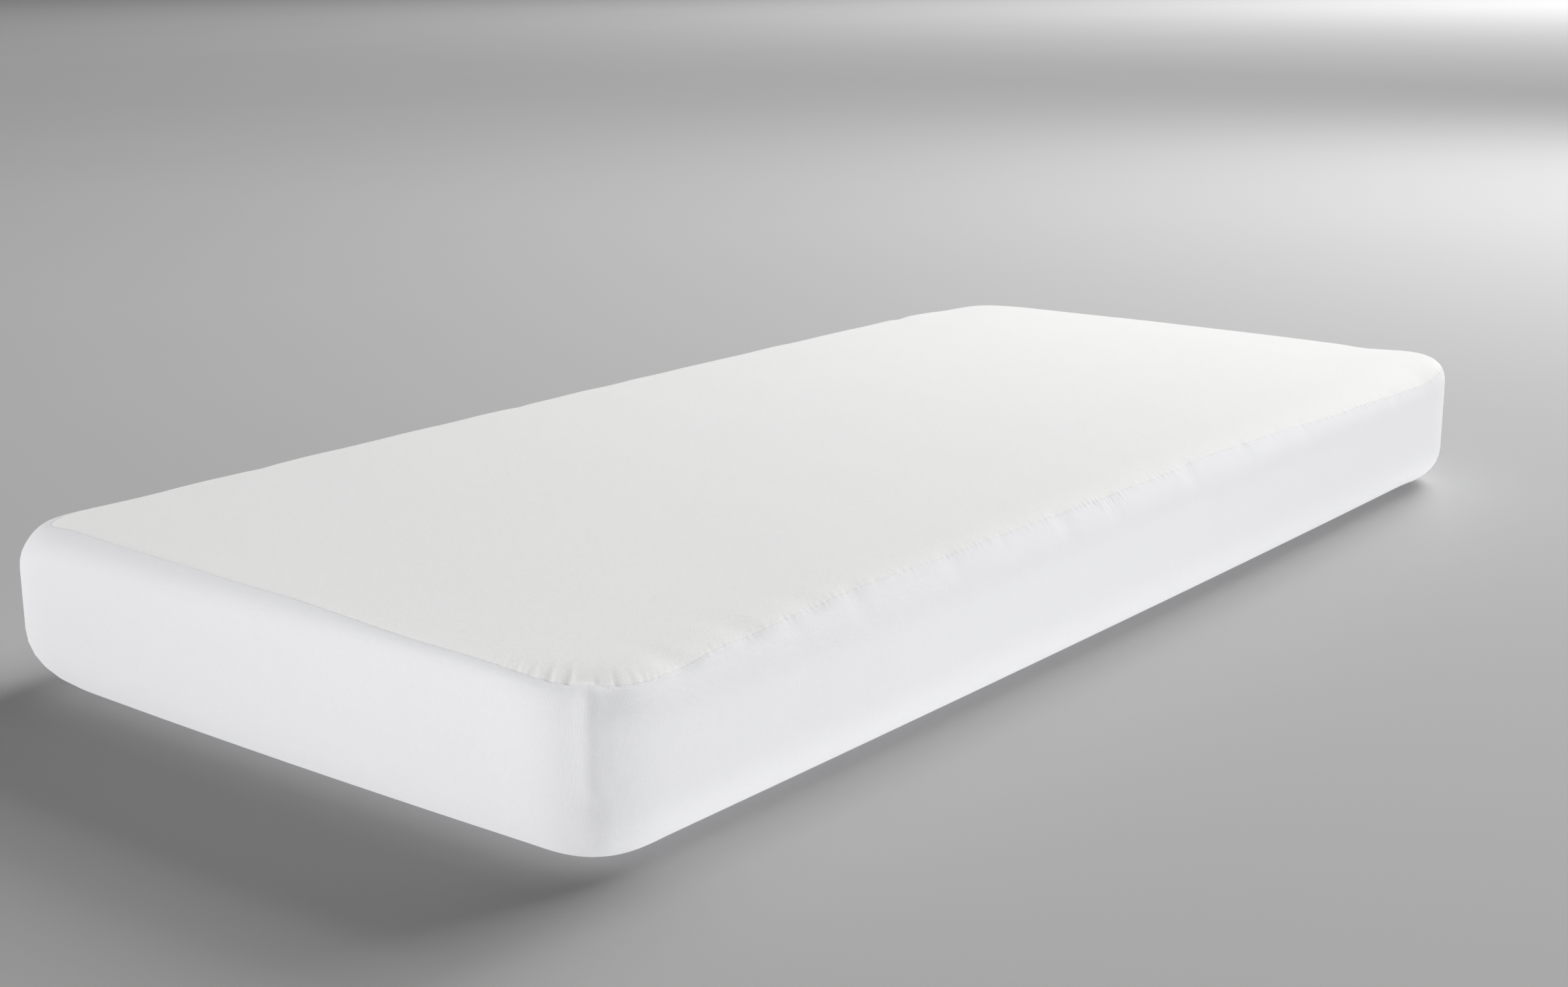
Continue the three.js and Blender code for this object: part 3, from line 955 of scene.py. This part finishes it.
def make_ticking():
    """Plain off-white mattress ticking, woven as a fine twill."""
    material, tree, shader = new_material("mattress_ticking", TICKING_WHITE, roughness=0.9, specular=0.25)
    place = place_in_object(tree)
    slanted = add_node(tree, "ShaderNodeMapping", Vector=place, Rotation=(0, 0, TICKING_SLANT)).outputs[0]
    twill = add_node(tree, "ShaderNodeTexWave", Vector=slanted, Scale=260, Distortion=0.6).outputs["Fac"]
    patches = noise(tree, place, scale=6)
    height = maths(tree, "MULTIPLY_ADD", noise(tree, place, scale=800), TICKING_YARN, twill)
    tint = blended(tree, patches, TICKING_SHADE, TICKING_WHITE)
    tree.links.new(tint, shader.inputs["Base Color"])
    tree.links.new(blended(tree, twill, *TICKING_ROUGHNESS), shader.inputs["Roughness"])
    add_bump(tree, shader, height, distance=0.0003)
    return material


def make_thread():
    """White polyester thread, with the twist of its plies."""
    material, tree, shader = new_material("thread", THREAD_WHITE, roughness=0.55, specular=0.4, sheen=0.3)
    place = place_in_object(tree)
    twist = add_node(tree, "ShaderNodeTexWave", Vector=place, Scale=900, Distortion=1.5).outputs["Fac"]
    tree.links.new(blended(tree, twist, THREAD_SHADE, THREAD_WHITE), shader.inputs["Base Color"])
    tree.links.new(blended(tree, twist, *THREAD_ROUGHNESS), shader.inputs["Roughness"])
    add_bump(tree, shader, twist, distance=0.00005)
    return material


def make_floor_paint():
    """Plain pale studio floor, matte."""
    material, tree, shader = new_material("floor_paint", FLOOR_GREY, roughness=1.0, specular=0.0)
    place = place_in_object(tree)
    colour = blended(tree, noise(tree, place, scale=0.7, detail=3), FLOOR_SHADE, FLOOR_GREY)
    tree.links.new(colour, shader.inputs["Base Color"])
    return material


# ---------------------------------------------------------------- floor, lights and camera


def make_floor():
    half = FLOOR_SIZE / 2
    corners = [(-half, -half, 0), (half, -half, 0), (half, half, 0), (-half, half, 0)]
    mesh = bpy.data.meshes.new("floor")
    mesh.from_pydata(corners, [], [(0, 1, 2, 3)])
    mesh.materials.append(make_floor_paint())
    floor = bpy.data.objects.new("floor", mesh)
    bpy.context.scene.collection.objects.link(floor)
    return floor


def towards(azimuth, elevation):
    """A direction: azimuth 0 is +Y and 90 is +X, elevation is above the floor, in degrees."""
    a, e = np.radians(azimuth), np.radians(elevation)
    return Vector((np.sin(a) * np.cos(e), np.cos(a) * np.cos(e), np.sin(e)))


def link_group(floor, state):
    """A group for lights that are kept to the floor, or kept off it."""
    group = bpy.data.collections.new("floor_" + state.lower())
    group.objects.link(floor)
    group.collection_objects[0].light_linking.link_state = state
    return group


def make_light(light, floor_only, floor_left_out):
    data = bpy.data.lights.new(light.name, "AREA")
    data.shape = "SQUARE"
    data.size = light.size
    data.energy = light.power
    lamp = bpy.data.objects.new(light.name, data)
    way = towards(light.azimuth, light.elevation)
    lamp.location = LIT_POINT + light.distance * way
    lamp.rotation_mode = "QUATERNION"
    lamp.rotation_quaternion = way.to_track_quat("Z", "Y")
    lamp.visible_camera = False
    if light.lit == "floor":
        lamp.light_linking.receiver_collection = floor_only
    else:
        lamp.light_linking.receiver_collection = floor_left_out
        lamp.light_linking.blocker_collection = floor_left_out
    bpy.context.scene.collection.objects.link(lamp)


def make_sky():
    world = bpy.data.worlds.new("studio")
    world.use_nodes = True
    background = world.node_tree.nodes["Background"]
    background.inputs["Color"].default_value = (*SKY_COLOUR, 1)
    background.inputs["Strength"].default_value = SKY_STRENGTH
    bpy.context.scene.world = world


def make_camera():
    data = bpy.data.cameras.new("camera")
    data.sensor_width = SENSOR
    data.lens = LENS
    data.clip_end = 2 * FLOOR_SIZE
    camera = bpy.data.objects.new("camera", data)
    turn = Matrix.Rotation(np.radians(CAMERA_HEADING), 4, "Z")
    tilt = Matrix.Rotation(np.radians(90 - CAMERA_DOWN), 4, "X")
    roll = Matrix.Rotation(np.radians(CAMERA_ROLL), 4, "Z")
    camera.matrix_world = Matrix.Translation(CAMERA_PLACE) @ turn @ tilt @ roll
    bpy.context.scene.collection.objects.link(camera)
    bpy.context.scene.camera = camera


# ---------------------------------------------------------------- the scene

make_camera()
make_sky()
floor = make_floor()
floor_only, floor_left_out = link_group(floor, "INCLUDE"), link_group(floor, "EXCLUDE")
for light in LIGHTS:
    make_light(light, floor_only, floor_left_out)
bpy.context.scene.view_settings.view_transform = "Standard"

sections = sections_at(all_laps())
jersey, thread = make_skirt_jersey(), make_thread()
panel = add_piece(make_top_panel(sections), make_panel_cloth(), "top_panel")
skirt = add_piece(make_skirt(sections), jersey, "skirt")
block = add_piece(make_mattress(every(sections, QUARTER)), make_ticking(), "mattress")
seam_stitches = add_piece(make_seam_stitches(), thread)
hem_stitches = add_piece(make_hem_stitches(), thread)
